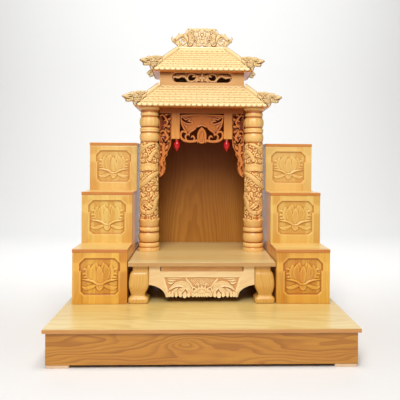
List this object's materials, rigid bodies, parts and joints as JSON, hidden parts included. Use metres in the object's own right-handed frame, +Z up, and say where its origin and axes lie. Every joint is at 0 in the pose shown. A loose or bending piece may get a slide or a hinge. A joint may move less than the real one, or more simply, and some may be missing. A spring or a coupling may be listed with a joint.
{
  "type": "household altar cabinet",
  "caption": "Carved wooden shrine with a two-tier roof on a low table, between stair-shaped side units, on a box base.",
  "frame": {"origin": "centre of the base's footprint, on the underside of the cleats", "axes": "+Z up, -Y is the front with the opening of the shrine, +X to the right of someone facing it"},
  "size_m": [0.88, 0.7417, 1.0951],
  "materials": {
    "honey_pine": "clear lacquered pine, satin",
    "pale_carved_wood": "carved pale wood, thin lacquer",
    "brown_veneer": "brown veneered board, satin",
    "red_lamp": "glossy translucent red"
  },
  "bodies": {
    "cabinet": {"attic_front": "pale_carved_wood", "attic_walls": "pale_carved_wood", "back_wall": "brown_veneer", "base_cleat_left": "honey_pine", "base_cleat_right": "honey_pine", "base_rail_back": "honey_pine", "base_rail_front": "honey_pine", "base_rail_left": "honey_pine", "base_rail_right": "honey_pine", "base_top": "honey_pine", "bracket_left": "pale_carved_wood", "bracket_right": "pale_carved_wood", "canopy_frame": "pale_carved_wood", "column_left": "pale_carved_wood", "column_right": "pale_carved_wood", "hip_dragon_lower_left": "pale_carved_wood", "hip_dragon_lower_right": "pale_carved_wood", "hip_dragon_upper_back_left": "pale_carved_wood", "hip_dragon_upper_back_right": "pale_carved_wood", "hip_dragon_upper_front_left": "pale_carved_wood", "hip_dragon_upper_front_right": "pale_carved_wood", "lamp_left": "red_lamp", "lamp_right": "red_lamp", "lower_eave_board": "pale_carved_wood", "lower_roof": "pale_carved_wood", "ridge_ornament": "pale_carved_wood", "shelf_guide": "honey_pine", "side_wall_left": "brown_veneer", "side_wall_right": "brown_veneer", "steps_left_back": "honey_pine", "steps_left_inner_side": "honey_pine", "steps_left_outer_side": "honey_pine", "steps_left_panel_high": "honey_pine", "steps_left_panel_low": "honey_pine", "steps_left_panel_mid": "honey_pine", "steps_left_top_high": "honey_pine", "steps_left_top_low": "honey_pine", "steps_left_top_mid": "honey_pine", "steps_right_back": "honey_pine", "steps_right_inner_side": "honey_pine", "steps_right_outer_side": "honey_pine", "steps_right_panel_high": "honey_pine", "steps_right_panel_low": "honey_pine", "steps_right_panel_mid": "honey_pine", "steps_right_top_high": "honey_pine", "steps_right_top_low": "honey_pine", "steps_right_top_mid": "honey_pine", "table_apron_back": "pale_carved_wood", "table_apron_front": "pale_carved_wood", "table_apron_left": "pale_carved_wood", "table_apron_right": "pale_carved_wood", "table_leg_back_left": "pale_carved_wood", "table_leg_back_right": "pale_carved_wood", "table_leg_front_left": "pale_carved_wood", "table_leg_front_right": "pale_carved_wood", "table_top": "honey_pine", "upper_eave_board": "pale_carved_wood", "upper_roof": "pale_carved_wood", "valance": "pale_carved_wood"},
    "shelf": {"pull_out_shelf": "honey_pine"}
  },
  "joints": [
    {"name": "shelf_slide", "type": "slide", "parent": "cabinet", "child": "shelf", "axis": [0, -1, 0], "range_m": [0, 0.22]}
  ]
}
